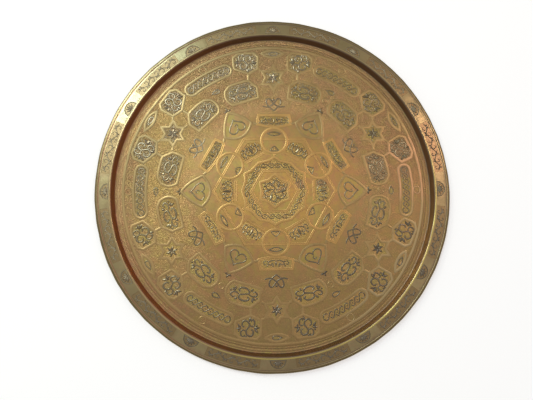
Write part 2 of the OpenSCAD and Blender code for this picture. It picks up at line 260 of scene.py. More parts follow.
BUD_AT, LENS_AT, HEART_AT = (0, 73.2), (0, 100), (0, 132)
KNOT_AT, TREFOIL_AT, DROP_AT = (0, 153), (0, 161.5), (0, 201.5)
BUD = smooth([(7.6, -3.4), (5.5, -0.2), (2.2, 3.2), (0, 4.6), (-2.2, 3.2), (-5.5, -0.2), (-7.6, -3.4)], 4)

CHAIN_R, CHAIN_HALF_H, CHAIN_HALF_A = 228.5, 10.5, 8.6
RIM_IN, RIM_OUT = 277.5, 291.5
RIM_MID = (RIM_IN + RIM_OUT) / 2
DOME_R = 13.5
DOME = np.concatenate([[(-DOME_R, RIM_IN), (DOME_R, RIM_IN)], arc((0, RIM_IN), DOME_R, 8, 172, 16)])
SCROLL_HALF_A = 9.1
DOME_SPOKES, SCROLL_SPOKES = range(0, 360, 30), range(15, 375, 30)


def across_spoke(r, half_angle, n):
    """An arc about the tray's axis, from the left of the +Y spoke to its right."""
    return arc((0, 0), r, 90 + half_angle, 90 - half_angle, n)


def chain_end(side):
    end = arc((0, 0), CHAIN_HALF_H, -90 * side, -90 * side - 180, 10)[1:-1]
    return turned(moved(end, (0, CHAIN_R)), CHAIN_HALF_A * side)


CHAIN_CELL = np.concatenate([
    across_spoke(CHAIN_R - CHAIN_HALF_H, -CHAIN_HALF_A, 20), chain_end(1),
    across_spoke(CHAIN_R + CHAIN_HALF_H, CHAIN_HALF_A, 20), chain_end(-1)])
RIM_SCROLL = np.concatenate([
    across_spoke(RIM_IN, SCROLL_HALF_A, 24), across_spoke(RIM_OUT, -SCROLL_HALF_A, 24)])


# ---- Strokes: (kind, points, width, taper) in the plane ----

def line(points, width=1.7, taper=0.0):
    return ("line", xy(points), width, taper)


def band(points, width):
    return ("band", xy(points), width, 0.0)


def solid(points):
    return ("solid", xy(points), 0.0, 0.0)


def wire(points, width):
    return ("wire", xy(points), width, 0.0)


def changed(strokes, change):
    return [(kind, change(points), width, taper) for kind, points, width, taper in strokes]


def at(strokes, by=(0, 0), degrees=0):
    return changed(strokes, lambda p: moved(turned(p, degrees), by))


def either_side(strokes):
    """The strokes and their mirror twins across the spoke."""
    return strokes + changed(strokes, lambda p: p * [-1, 1])


def on(strokes, spokes):
    return [s for a in spokes for s in at(strokes, degrees=a - 90)]


# ---- Scrollwork ----

def leaf_at(place, degrees, length, width, curl=0.0):
    """A pointed leaf that grows from the place in the direction given."""
    return solid(moved(turned(leaf(length, width, curl), degrees - 90), place))


def dot(place, r):
    return solid(moved(loop((0, 0), r, 12), place))


def knot_scroll(w, h, width):
    """An S-shaped stem with a curl, a tendril and split leaves on each half."""
    stem = smooth([(0, 0), (0.13, 0.10), (0.15, 0.28), (0.03, 0.43), (-0.13, 0.40), (-0.20, 0.24),
                   (-0.13, 0.13)])
    tendril = smooth([(0.13, 0.10), (0.27, -0.02), (0.40, 0.06), (0.43, 0.24), (0.35, 0.34), (0.28, 0.24)])
    half = [
        line(stem * (w, h), width * 1.15, 0.35),
        line(tendril * (w, h), width, 0.45),
        leaf_at((0.20 * w, 0.30 * h), 62, 0.24 * h, width * 1.5, 0.2),
        leaf_at((0.30 * w, -0.10 * h), -38, 0.30 * h, width * 1.5, -0.3),
        leaf_at((-0.30 * w, 0.16 * h), 118, 0.30 * h, width * 1.4, 0.2),
        dot((0.46 * w, -0.06 * h), width * 0.62),
    ]
    return half + at(half, degrees=180)


def running_vine(length, height, bays, width):
    """A waving stem along X with a curl and two leaves in every bend."""
    x = np.linspace(-length / 2, length / 2, bays * 10 + 1)
    stem = np.stack([x, height * 0.24 * np.sin(math.pi * bays * (x / length + 0.5))], 1)
    out = [line(stem, width, 0.1)]
    bay = length / bays
    for i in range(bays):
        up = 1 if i % 2 == 0 else -1
        x0 = -length / 2 + bay * i
        start, eye = (x0 + bay * 0.16, up * height * 0.08), (x0 + bay * 0.52, -up * height * 0.20)
        out.append(line(spiral(start, eye, -up * 0.9, bay * 0.09), width * 0.9, 0.3))
        for share, rise, degrees, fat, curl in ((0.52, 0.25, 58, 1.5, 0.3), (0.40, 0.22, 132, 1.4, -0.3)):
            place = (x0 + bay * share, up * height * rise)
            out.append(leaf_at(place, up * degrees, height * 0.26, width * fat, curl * up))
    return out


def palmette(w, h, width=1.9):
    """A central leaf between two pairs of curls."""
    stem = smooth([(0.02, -0.44), (0.13, -0.40), (0.27, -0.22), (0.30, 0.04), (0.20, 0.18), (0.11, 0.06),
                   (0.17, -0.06)])
    over = smooth([(0.27, -0.22), (0.40, -0.34), (0.47, -0.12), (0.43, 0.14), (0.37, 0.02)])
    half = [
        line(stem * (w, h), width, 0.35),
        line(over * (w, h), width * 0.9, 0.4),
        leaf_at((0.08 * w, 0.22 * h), 38, 0.26 * h, width * 1.5, -0.2),
        leaf_at((0.31 * w, 0.16 * h), 60, 0.30 * h, width * 1.4, -0.2),
    ]
    return either_side(half) + [solid(moved(drop(h * 0.72, h * 0.22), (0, h * 0.04)))]


def whorl(r, arms, width=2.0):
    """Curls and leaves that wind round a small ring."""
    arm = [
        line(spiral((r * 0.05, r * 0.24), (r * 0.16, r * 0.62), -0.95, r * 0.10), width, 0.3),
        leaf_at((-r * 0.16, r * 0.36), 112, r * 0.52, width * 1.5, -0.3),
        leaf_at((r * 0.02, r * 0.84), 150, r * 0.24, width * 1.1, 0.2),
    ]
    out = [band(loop((0, 0), r * 0.16, 16), width * 0.7)]
    for i in range(arms):
        out += at(arm, degrees=360 * i / arms)
    return out


def twist(length, height, crossings, width=1.7, gap=0.15):
    """Two strands along X that pass over and under each other, with a bead in every eye."""
    out = []
    for strand, flip in ((0, 1), (1, -1)):
        for k in range(strand - 2, crossings + 1, 2):
            a, b = max(k - 1 + gap, -0.5), min(k + 1 - gap, crossings - 0.5)
            if b > a:
                t = np.linspace(a, b, 15)
                x = (t + 0.5) / crossings * length - length / 2
                out.append(line(np.stack([x, flip * height / 2 * np.sin(math.pi * t)], 1), width))
    for k in range(crossings - 1):
        out.append(dot(((k + 1) / crossings * length - length / 2, 0), 0.95))
    for side in (-1, 1):
        out.append(line(arc((side * length / 2, 0), height / 2, 90, 90 - 180 * side, 10), width))
    return out


def soft_hexagon_r(a):
    """The radius of the border's middle line at an angle in radians."""
    return 46 + 2 * np.cos(6 * a)


def ring_twist(crossings, height, width=1.6, gap=0.16):
    """Two strands that cross round the border of the centre, on a hexagon with soft corners."""
    out = []
    for strand, flip in ((0, 1), (1, -1)):
        for k in range(strand, crossings, 2):
            a = 2 * math.pi * np.linspace(k - 1 + gap, k + 1 - gap, 13) / crossings
            r = soft_hexagon_r(a) + flip * height / 2 * np.sin(crossings * a / 2)
            out.append(line(r[:, None] * np.stack([np.cos(a), np.sin(a)], 1), width))
    for k in range(crossings):
        a = 360 * (k + 0.5) / crossings
        out.append(dot(polar(soft_hexagon_r(math.radians(a)), a), 1.0))
    return out


CURL_STEP, CURL_R, CURL_EYE_R, CURL_W, CURL_CLEAR = 4.1, 1.7, 0.7, 0.95, 2.4


def curls(outline, strokes, margin):
    """Fine wire curls that fill a cell round its main strokes."""
    marks = np.concatenate([s[1] for s in strokes])
    low, high = outline.min(0), outline.max(0)
    out = []
    for j, y in enumerate(np.arange(low[1], high[1], CURL_STEP * 0.87)):
        for x in np.arange(low[0] + (CURL_STEP / 2 if j % 2 else 0), high[0], CURL_STEP):
            centre = np.array([x, y]) + rng.uniform(-0.5, 0.5, 2)
            turn, start = rng.choice([-1, 1]), rng.uniform(0, 360)
            clear = np.hypot(*(marks - centre).T).min() >= CURL_CLEAR
            if clear and inside(centre[None], offset(outline, margin))[0]:
                curl = spiral(centre + polar(CURL_R, start), centre, 0.8 * turn, CURL_EYE_R, 9)
                out.append(wire(curl, CURL_W))
    return out


def filled(strokes, outline, spokes, margin=2.6, paired=False):
    """One cell's strokes on the spokes, with fine curls round them where those are not worn away."""
    fill = curls(anticlockwise(outline), strokes, margin)
    if paired:
        strokes, fill = either_side(strokes), either_side(fill)
    return on(strokes, spokes) + on(fill, [a for a in spokes if a not in WORN_SPOKES])


KNOT_STRAND = smooth([(-19.2, -3.6), (-13.5, -5.2), (-7.2, -4.2), (0, 0.8), (4.6, 7), (8.6, 9.8), (12.4, 6.6),
                      (11.2, -0.6), (6, -6.6), (0, -11.4)], per=5)
HEART_HOOK = smooth([(0.3, -4.3), (1.9, -2.3), (2.1, 0.4), (0.2, 1.9), (-1.9, 1.0), (-1.6, -0.9)])
CARTOUCHE_SCROLL = at(knot_scroll(50, 24, 2.5), (54.5, 173), -16)
ROUNDEL_SCROLL = at(knot_scroll(33, 31, 2.5), ROUNDEL_AT, 20)

SILVER = {
    "centre_medallion_inlay": filled(whorl(20.5, 6), STAR, [90]),
    "chain_border_inlay": ring_twist(24, 6.6),
    "panel_inlays": filled(at(palmette(36, 20), (0, 81.5)), PANEL, HEARTS, 1.8),
    "bud_inlays": on([band(moved(BUD, BUD_AT), 1.6)], CARTOUCHES),
    "lens_inlays": on([band(moved(lens(21, 6.4), LENS_AT), 1.9)], CARTOUCHES),
    "inner_cartouche_inlays": filled(at(palmette(46, 12.5, 1.7), (0, 123.3)), INNER_CARTOUCHE, CARTOUCHES),
    "heart_inlays": on([band(moved(heart(29, 24), HEART_AT), 2.1),
                        line(moved(HEART_HOOK, HEART_AT), 1.8, 0.4)], HEARTS),
    "knot_inlays": on(either_side([line(moved(KNOT_STRAND, KNOT_AT), 2.5, 0.1)])
                      + [dot(moved((0, 7.6), KNOT_AT), 2.0)], CARTOUCHES),
    "trefoil_inlays": on([leaf_at(TREFOIL_AT, a, 6.5, 3.0) for a in (0, 90, 180)], HEARTS),
    "cartouche_inlays": filled(CARTOUCHE_SCROLL, CARTOUCHE, CARTOUCHES, 3.2, paired=True),
    "star_inlays": filled(at([leaf_at((0, 0), 60 * i + 30, 9.5, 3.6, 0.2) for i in range(6)], STAR_AT),
                          STAR_CELL, CARTOUCHES, 3.0),
    "drop_inlays": on([band(moved(turned(drop(14, 7.2), 90), DROP_AT), 1.8)], HEARTS),
    "roundel_inlays": filled(ROUNDEL_SCROLL, ROUNDEL, CARTOUCHES, 3.2, paired=True),
    "chain_cartouche_inlays": on(changed(twist(70, 10.5, 7), lambda p: bent(p, CHAIN_R)), HEARTS),
    "outer_leaf_inlays": on([band(moved(turned(drop(15.5, 7), 90), LEAF_AT), 1.8)], CARTOUCHES),
}
IN_THE_FIELD = ("knot_inlays", "trefoil_inlays")

DOME_MARKS = [leaf_at((0, RIM_IN + 2.4), a, 9, 2.8) for a in (24, 57, 90, 123, 156)]
RIM_SILVER = {
    "rim_dome_inlays": on([band(offset(DOME, 0.9), 1.2)] + DOME_MARKS, DOME_SPOKES),
    "rim_scroll_inlays": on(changed(running_vine(84, 13, 7, 1.3), lambda p: bent(p, RIM_MID)), SCROLL_SPOKES),
}


def strap(outline, width=STRAP_W):
    return [band(outline, width)]


def bar(points):
    return [line(points, STRAP_W)]


def great_hexagon_bars():
    """The great hexagon's sides, cut where the circles cross them."""
    corner = GREAT_HEXAGON[1]
    apothem = corner[1]
    reach = math.sqrt(CIRCLE_R**2 - (apothem - CIRCLE_Y) ** 2)
    cut = STRAP_W / 2 + 0.15
    next_side = turned([(-reach - cut, apothem)], -60)[0]
    inner = bar([(-reach + cut, apothem), (reach - cut, apothem)])
    return on(inner, CARTOUCHES) + on(bar([(reach + cut, apothem), corner, next_side]), CARTOUCHES)


COPPER = {
    "centre_star_strap": strap(STAR),
    "centre_hexagon_strap": strap(HEXAGON),
    "border_ring_strap": strap(BORDER_RING),
    "petal_cell_straps": on(bar(PETAL_LINE), HEARTS) + on(bar(PETAL_SPUR), CARTOUCHES),
    "circle_straps": on(strap(CIRCLE), CARTOUCHES),
    "inner_cartouche_straps": on(strap(INNER_CARTOUCHE), CARTOUCHES),
    "heart_frame_straps": on(strap(HEART_CELL), HEARTS),
    "cartouche_straps": on(either_side(strap(CARTOUCHE)), CARTOUCHES),
    "small_boss_straps": on(strap(SMALL_BOSS, BOSS_W), HEARTS),
    "star_straps": on(strap(STAR_CELL), CARTOUCHES),
    "cell_link_straps": on(either_side([line(p, STRAP_W) for p in LINKS]), CARTOUCHES),
    "roundel_straps": on(either_side(strap(ROUNDEL)), CARTOUCHES),
    "chain_cartouche_straps": on(strap(CHAIN_CELL), HEARTS),
    "outer_boss_straps": on(strap(OUTER_BOSS, BOSS_W), HEARTS),
    "outer_leaf_straps": on(strap(LEAF_CELL), CARTOUCHES),
    "outer_border_strap": strap(loop((0, 0), BORDER_R, 360)),
    "great_hexagon_straps": great_hexagon_bars(),
}
DOUBLE = ("centre_hexagon_strap", "petal_cell_straps", "great_hexagon_straps", "inner_cartouche_straps")
IN_THE_MIDDLE = DOUBLE + ("centre_star_strap", "border_ring_strap", "circle_straps")


# ---- Hand work: every piece follows the same slight unevenness of the sheet ----

WANDER_X = [(0.16, 0.11, 0.07, 0.4), (0.12, -0.06, 0.17, 2.1), (0.10, 0.23, -0.12, 4.0)]
WANDER_Y = [(0.16, -0.08, 0.12, 1.3), (0.12, 0.16, 0.05, 5.2), (0.10, 0.10, 0.25, 0.9)]
SAG = [(0.28, 0.009, 0.004, 0.5), (0.22, -0.006, 0.013, 2.4), (0.12, 0.021, 0.017, 4.4),
       (0.07, 0.045, -0.036, 1.0)]
SAG_MOST = sum(s[0] for s in SAG)


def waves(x, y, terms):
    return sum(size * np.sin(kx * x + ky * y + phase) for size, kx, ky, phase in terms)


def worked(co):
    """Positions in design millimetres, with the sheet's wander, sag and bent edge, in metres."""
    x, y, z = co.T
    r, a = np.hypot(x, y), np.arctan2(y, x)
    out_of_round = 1 + 0.0012 * np.cos(2 * a + 0.7) + 0.0007 * np.cos(3 * a + 2.0) + 0.0004 * np.cos(7 * a)
    edge = np.clip((r - 265) / 35, 0, 1) ** 2 * (0.5 * np.cos(2 * a + 1.1) + 0.25 * np.cos(5 * a))
    lift = waves(x, y, SAG) + SAG_MOST
    return MM * np.column_stack([x * out_of_round + waves(x, y, WANDER_X),
                                 y * out_of_round + waves(x, y, WANDER_Y),
                                 z + (lift * 0.5 + edge * 0.6)])


def new_object(name, data):
    obj = bpy.data.objects.new(name, data)
    bpy.context.scene.collection.objects.link(obj)
    return obj


class Shell:
    """Gathers the faces of one object, each with the number of its material."""

    def __init__(self):
        self.co, self.faces, self.tones, self.count = [], [], [], 0

    def add(self, co, faces, tones):
        self.co.append(co)
        self.faces += [[i + self.count for i in f] for f in faces]
        self.tones += tones
        self.count += len(co)

    def build(self, name, materials, sharp=35, weld=False):
        mesh = bpy.data.meshes.new(name)
        mesh.from_pydata(worked(np.concatenate(self.co)).tolist(), [], self.faces)
        for m in materials:
            mesh.materials.append(m)
        mesh.polygons.foreach_set("material_index", self.tones)
        mesh.polygons.foreach_set("use_smooth", [True] * len(mesh.polygons))
        if weld:
            bm = bmesh.new()
            bm.from_mesh(mesh)
            bmesh.ops.remove_doubles(bm, verts=bm.verts, dist=2e-6)
            bmesh.ops.recalc_face_normals(bm, faces=bm.faces)
            bm.to_mesh(mesh)
            bm.free()
        mesh.set_sharp_from_angle(angle=math.radians(sharp))
        mesh.update()
        return new_object(name, mesh)


def quads(rows, across, closed=False):
    """Faces between successive rings of points. Closed joins the last ring to the first."""
    faces = []
    for i in range(rows if closed else rows - 1):
        here, there = i * across, (i + 1) % rows * across
        for k in range(across):
            k2 = (k + 1) % across
            faces.append([here + k, here + k2, there + k2, there + k])
    return faces


# ---- Strips: swept bands and cut leaves ----

CROWN, EDGE, FINE = 0, 1, 2


class Profile:
    """A strip's section: half of it as (share of half width, depth below the top) from the side inwards."""

    def __init__(self, half, tones, middle=CROWN, base=EDGE):
        shares = [x for x, _ in half]
        self.x = np.array([-1] + [-x for x in shares] + shares[::-1] + [1])
        self.drop = np.array([d for _, d in half])
        self.tones = tones + [middle] * (len(self.x) - 1 - 2 * len(tones)) + tones[::-1] + [base]

    def heights(self, base, top):
        rise = top - self.drop
        return np.concatenate([[base], rise, rise[::-1], [base]])


ROUNDED = Profile([(1, 0.34), (0.85, 0.18), (0.6, 0.07), (0.3, 0.0)], [EDGE, EDGE])
BAR = Profile([(1, 0.22), (0.86, 0.155), (0.7, 0.1), (0.5, 0.05), (0.3, 0.018), (0.12, 0.0)], [EDGE])
DOUBLE_BAR = Profile([(1, 0.22), (0.84, 0.09), (0.66, 0.0), (0.5, 0.03), (0.34, 0.11), (0.1, 0.14)],
                     [EDGE, CROWN, CROWN, CROWN], FINE)
WIRE = Profile([(0.8, 0.16), (0.3, 0.0)], [FINE, FINE], FINE, FINE)


class Strips(Shell):
    """The separate strips of one node, all from the same base up to the same top."""

    def __init__(self, base, top, profile, strokes):
        super().__init__()
        self.base, self.top = base, top
        for kind, points, width, taper in strokes:
            if kind == "solid":
                self.plate(anticlockwise(points))
            elif kind == "band":
                self.sweep(anticlockwise(points), width, taper, True, profile)
            else:
                self.sweep(points, width, taper, False, WIRE if kind == "wire" else profile)

    def hand_top(self):
        return self.top + rng.uniform(-UNEVEN_TOP, UNEVEN_TOP)

    def sweep(self, points, width, taper, closed, profile):
        n, m = len(points), len(profile.x)
        along = np.linspace(0, 1, n)
        uneven = 1 + 0.06 * np.sin(along * 9 + rng.uniform(0, 6))
        if closed:
            half = np.full(n, width / 2)
        else:
            half = width / 2 * (1 - taper + taper * np.sin(math.pi * (0.08 + 0.84 * along)) ** 0.8) * uneven
        z = profile.heights(self.base, self.hand_top())
        rows = [np.column_stack([offset(points, -x * half, closed), np.full(n, h)])
                for x, h in zip(profile.x, z)]
        faces = quads(n, m, closed)
        tones = profile.tones * (len(faces) // m)
        if not closed:
            faces += [list(range(m))[::-1], [(n - 1) * m + k for k in range(m)]]
            tones += [EDGE, EDGE]
        self.add(np.stack(rows, 1).reshape(-1, 3), faces, tones)

    def plate(self, points):
        n, top = len(points), self.hand_top()
        rings = [(points, self.base), (points, top - STRIP_BEVEL), (offset(points, 0.3), top)]
        caps = [list(range(n))[::-1], [2 * n + i for i in range(n)]]
        self.add(np.concatenate([np.column_stack([p, np.full(n, h)]) for p, h in rings]),
                 caps + quads(3, n), [EDGE, CROWN] + [EDGE] * 2 * n)


# ---- The brass sheet ----

FIELD, CHASED, SMOOTH = 0, 1, 2


class Relief:
    """What is sunk into one flat of the sheet: outlines with their wall loops and their ground."""

    def __init__(self):
        self.sunk, self.zones, self.loops = [], [], []

    def sink(self, outer, hole=None, zone=None):
        outer = anticlockwise(outer)
        self.loops += [outer, offset(outer, GROOVE_SLOPE)]
        inner_hole = None
        if hole is not None:
            hole = anticlockwise(hole)
            self.loops += [hole, offset(hole, -GROOVE_SLOPE)]
            inner_hole = offset(hole, -GROOVE_SLOPE * 0.8)
        self.sunk.append((offset(outer, GROOVE_SLOPE * 0.8), inner_hole))
        if zone:
            self.zones.append((outer, hole, zone))

    def spread(self, outline, spokes, mirror=False, hole=None, zone=None):
        """Sinks the outline on each spoke, and its mirror twin too if asked."""
        for a in spokes:
            for side in (1, -1) if mirror else (1,):
                outer, inner = (p if p is None else turned(xy(p) * [side, 1], a - 90)
                                for p in (outline, hole))
                self.sink(outer, inner, zone)

    def channel(self, outline, half, spokes=(90,)):
        """A channel that follows a closed outline."""
        self.spread(grown(outline, half), spokes, hole=grown(outline, -half))


def within(points, outer, hole):
    found = inside(points, outer)
    return found if hole is None else found & ~inside(points, hole)


def floor_relief():
    half = STRAP_W / 2 + GROOVE_SPARE
    relief = Relief()
    relief.sink(grown(BORDER_RING, half), zone=CHASED)
    relief.sink(HEXAGON, zone=SMOOTH)
    relief.sink(STAR, zone=CHASED)
    for cell in (INNER_CARTOUCHE, STAR_CELL, LEAF_CELL):
        relief.spread(grown(cell, half), CARTOUCHES, zone=CHASED)
    for cell in (CARTOUCHE, ROUNDEL):
        relief.spread(grown(cell, half), CARTOUCHES, mirror=True, zone=CHASED)
    relief.spread(grown(CHAIN_CELL, half), HEARTS, zone=CHASED)
    relief.spread(grown(HEART_CELL, half), HEARTS, zone=SMOOTH)
    relief.spread(PANEL, HEARTS, zone=CHASED)
    relief.channel(CIRCLE, half, CARTOUCHES)
    for boss in (SMALL_BOSS, OUTER_BOSS):
        relief.channel(boss, BOSS_W / 2 + 0.1, HEARTS)
    relief.channel(GREAT_HEXAGON, half)
    relief.channel(loop((0, 0), BORDER_R, 240), half)
    for points in LINKS:
        relief.spread(thickened(points, half), CARTOUCHES, mirror=True)
    relief.spread(thickened(PETAL_LINE, half), HEARTS)
    relief.spread(thickened(PETAL_SPUR, half), CARTOUCHES)
    relief.spread(moved(grown(BUD, 0.9), BUD_AT), CARTOUCHES, zone=CHASED)
    relief.spread(moved(grown(lens(21, 5.6), 1.25), LENS_AT), CARTOUCHES, zone=CHASED)
    relief.spread(moved(turned(grown(drop(14, 7.2), 1.0), 90), DROP_AT), HEARTS, zone=CHASED)
    return relief


def rim_relief():
    relief = Relief()
    relief.spread(DOME, DOME_SPOKES, zone=CHASED)
    relief.spread(RIM_SCROLL, SCROLL_SPOKES, zone=CHASED)
    return relief


# Turned and chased lines that run right round: (radius, depth, or a raised line when negative).
FLOOR_LINES = [(252.4, 0.10), (259.3, 0.12), (261.5, -0.24), (263.8, 0.12), (265.8, -0.18)]
RIM_LINES = [(276.4, 0.14), (292.9, 0.16), (294.6, 0.3)]
LINE_HALF_W = 0.75
# The shallow hollow that runs round the edge of the floor.
HOLLOW_IN, HOLLOW_OUT, HOLLOW_DEPTH = 257.8, 267.4, 0.35
ROW_SHARE = 0.866


def ring_points(r):
    return loop((0, 0), r, AROUND)


def grid_points(step, r_in, r_out):
    """A triangular grid over a flat ring."""
    rows = int(r_out / step / ROW_SHARE) + 1
    grid = []
    for j in range(-rows, rows + 1):
        x = np.arange(-rows, rows + 1) * step + (step / 2 if j % 2 else 0)
        row = np.column_stack([x, np.full(len(x), j * step * ROW_SHARE)])
        r = np.hypot(*row.T)
        grid.append(row[(r < r_out - step * 0.6) & (r > r_in)])
    return grid


def flat_part(relief, r_in, r_out, z, lines, step, plain):
    """The upper face of one flat of the sheet, triangulated round everything chased into it."""
    outlines = relief.loops + [ring_points(r) for r in (r_out, r_in) if r]
    outlines += [ring_points(r + by) for r, _ in lines for by in (-LINE_HALF_W, 0, LINE_HALF_W)]
    edges, first = [], 0
    for outline in outlines:
        n = len(outline)
        edges += [(first + i, first + (i + 1) % n) for i in range(n)]
        first += n
    points = np.concatenate(outlines + grid_points(step, r_in, r_out))
    co, _, faces, *_ = delaunay_2d_cdt([Vector(p) for p in points], edges, [], 0, 1e-4, False)
    co, faces = np.array([tuple(c) for c in co]), np.array(faces)
    r = np.hypot(*co[faces].mean(1).T)
    faces = faces[(r < r_out) & (r > r_in)]
    middle = co[faces].mean(1)
    low = np.zeros(len(co), bool)
    for outer, hole in relief.sunk:
        low |= within(co, outer, hole)
    r = np.hypot(*co.T)
    across = np.clip((r - HOLLOW_IN) / (HOLLOW_OUT - HOLLOW_IN), 0, 1)
    height = z - HOLLOW_DEPTH * np.sin(math.pi * across)
    height[low] -= GROOVE_DEPTH
    for line_r, depth in lines:
        height[(np.abs(r - line_r) < LINE_HALF_W * 0.3) & ~low] -= depth
    ground = np.full(len(faces), plain)
    for outer, hole, zone in relief.zones:
        ground[within(middle, outer, hole)] = zone
    return np.column_stack([co, height]), faces.tolist(), ground.tolist()


def bend(cx, cz, r, a0, a1, n=7):
    return [(cx + r * math.cos(a), cz + r * math.sin(a)) for a in np.linspace(a0, a1, n)]


def straight(p, q, steps=5):
    """The points between p and q at equal steps."""
    return [tuple(xy(p) + (xy(q) - p) * t) for t in np.linspace(0, 1, steps + 1)[1:-1]]


def wall_centres():
    """The centres of the bends at the foot and the top of the wall."""
    depth = RIM_Z - FLOOR_Z
    both = BEND_R + BEND_OUTER_R
    run = both * math.cos(WALL_LEAN) + math.tan(WALL_LEAN) * (depth - both + both * math.sin(WALL_LEAN))
    return ((WALL_MID_R - run / 2, FLOOR_Z + BEND_R), (WALL_MID_R + run / 2, RIM_Z - BEND_OUTER_R))


(FOOT_X, FOOT_Z), (TOP_X, TOP_Z) = wall_centres()
DOWN, LEAN_OUT, LEAN_IN, UP = -math.pi / 2, -WALL_LEAN, math.pi - WALL_LEAN, math.pi / 2


def wall_section():
    foot = bend(FOOT_X, FOOT_Z, BEND_R, DOWN, LEAN_OUT)
    top = bend(TOP_X, TOP_Z, BEND_OUTER_R, LEAN_IN, UP)
    return foot + straight(foot[-1], top[0]) + top


def edge_and_back_section():
    """From the rim's edge line round the rolled edge, back under the rim and down to the underside."""
    outside = bend(ROLL_X, ROLL_Z, ROLL_R, UP * 0.86, -math.pi + ROLL_OPEN, 22)
    inside_roll = bend(ROLL_X, ROLL_Z, WIRE_R + 0.02, -math.pi + ROLL_OPEN, UP, 14)
    under_rim = [(x, RIM_Z - SHEET_T) for x in np.linspace(ROLL_X - 2, TOP_X + 2, 5)]
    top = bend(TOP_X, TOP_Z, BEND_R, UP, LEAN_IN)
    foot = bend(FOOT_X, FOOT_Z, BEND_OUTER_R, LEAN_OUT, DOWN)
    below = [(x, 0.0) for x in np.linspace(FOOT_X, 6, 34)[1:]]
    under_wall = top + straight(top[-1], foot[0]) + foot
    return [(EDGE_X, EDGE_Z)] + outside + inside_roll + under_rim + under_wall + below


def revolved(section):
    """A section of (r, z) points turned round the axis. Its first and last rings are left open."""
    around = ring_points(1.0)
    co = np.concatenate([np.column_stack([around * r, np.full(AROUND, z)]) for r, z in section])
    return co, [f[::-1] for f in quads(len(section), AROUND)]


def sheet_object(materials):
    shell = Shell()
    shell.add(*flat_part(floor_relief(), 0, FOOT_X, FLOOR_Z, FLOOR_LINES, FLOOR_GRID, FIELD))
    co, faces, ground = flat_part(rim_relief(), TOP_X, EDGE_X, RIM_Z, RIM_LINES, RIM_GRID, SMOOTH)
    co[np.hypot(*co[:, :2].T) > EDGE_X - 0.01, 2] = EDGE_Z
    shell.add(co, faces, ground)
    co, faces = revolved(wall_section())
    shell.add(co, faces, [SMOOTH] * len(faces))
    co, faces = revolved(edge_and_back_section())
    faces.append(list(range(len(co) - AROUND, len(co)))[::-1])
    shell.add(co, faces, [SMOOTH] * len(faces))
    return shell.build("brass_sheet", materials, sharp=28, weld=True)


def wire_object(material):
    shell = Shell()
    co, faces = revolved(bend(ROLL_X, ROLL_Z, WIRE_R, 2 * math.pi, 0, 17))
    shell.add(co, faces, [0] * len(faces))
    return shell.build("edge_wire_core", [material], weld=True)


# ---- Materials ----

class Nodes:
    """A short way to write a node tree. An input takes a number, a colour or another node's output."""

    def __init__(self, owner, coordinates="Object"):
        owner.use_nodes = True
        self.owner, self.tree = owner, owner.node_tree
        self.place = self.add("TexCoord").outputs[coordinates]

    def add(self, kind, inputs=(), **settings):
        node = self.tree.nodes.new("ShaderNode" + kind)
        for key, value in settings.items():
            setattr(node, key, value)
        self.feed(node, inputs)
        return node

    def feed(self, node, inputs):
        for key, value in dict(inputs).items():
            socket = node.inputs[key]
            if isinstance(value, bpy.types.NodeSocket):
                self.tree.links.new(value, socket)
            else:
                socket.default_value = (*value, 1) if socket.type == "RGBA" else value

    def noise(self, scale, detail=4.0, roughness=0.55, distortion=0.0, place=None):
        return self.add("TexNoise", {
            "Scale": scale, "Detail": detail, "Roughness": roughness, "Distortion": distortion,
            "Vector": place or self.place}).outputs["Fac"]

    def cells(self, scale):
        return self.add("TexVoronoi", {"Scale": scale, "Vector": self.place}).outputs["Distance"]

    def ramp(self, value, *stops):
        """Maps a value through (position, colour) stops."""
        node = self.add("ValToRGB", {"Fac": value})
        elements = node.color_ramp.elements
        while len(elements) < len(stops):
            elements.new(0.5)
        for element, (position, colour) in zip(elements, stops):
            element.position = position
            element.color = (*colour, 1)
        return node.outputs["Color"]

    def grade(self, value, low, high, start=0.3, end=0.7):
        """Maps a value from start..end to a roughness from low to high."""
        return self.ramp(value, (start, (low,) * 3), (end, (high,) * 3))

    def math(self, operation, a, b=0.0):
        return self.add("Math", {0: a, 1: b}, operation=operation).outputs[0]

    def times(self, product, *factors):
        for factor in factors:
            product = self.math("MULTIPLY", product, factor)
        return product

    def mix(self, share, a, b):
        return self.add("Mix", {0: share, 6: a, 7: b}, data_type="RGBA").outputs[2]

    def layers(self, colour, *rows):
        """The colour with tones laid over it in turn, each as strongly as the product of its masks."""
        for tone, *masks in rows:
            colour = self.mix(self.times(*masks), colour, tone)
        return colour

    def span(self, value, low, high, start, end):
        """Maps low..high smoothly to start..end."""
        inputs = dict(enumerate((value, low, high, start, end)))
        return self.add("MapRange", inputs, interpolation_type="SMOOTHSTEP").outputs[0]

    def rise(self, value, low, high):
        return self.span(value, low, high, 0, 1)

    def fall(self, value, low, high):
        return self.span(value, low, high, 1, 0)

    def radius(self):
        """Distance from the tray's axis, in metres."""
        flat = self.add("VectorMath", {0: self.place, 1: (1, 1, 0)}, operation="MULTIPLY")
        return self.add("VectorMath", {0: flat.outputs[0]}, operation="LENGTH").outputs["Value"]

    def along(self, direction):
        """How far a point lies from the middle along the direction."""
        node = self.add("VectorMath", {0: self.place, 1: direction}, operation="DOT_PRODUCT")
        return node.outputs["Value"]

    def towards(self, degrees):
        return self.along((*polar(1, degrees), 0))

    def facing(self, degrees):
        """The cosine of the angle round the tray from the direction given."""
        return self.math("DIVIDE", self.towards(degrees), self.radius())

    def bump(self, height, distance, strength=1.0, under=None):
        inputs = {"Height": height, "Distance": distance, "Strength": strength}
        if under is not None:
            inputs["Normal"] = under
        return self.add("Bump", inputs).outputs["Normal"]

    def metal(self, colour, roughness, normal):
        self.feed(self.tree.nodes["Principled BSDF"],
                  {"Base Color": colour, "Roughness": roughness, "Normal": normal, "Metallic": 1.0})
        return self.owner


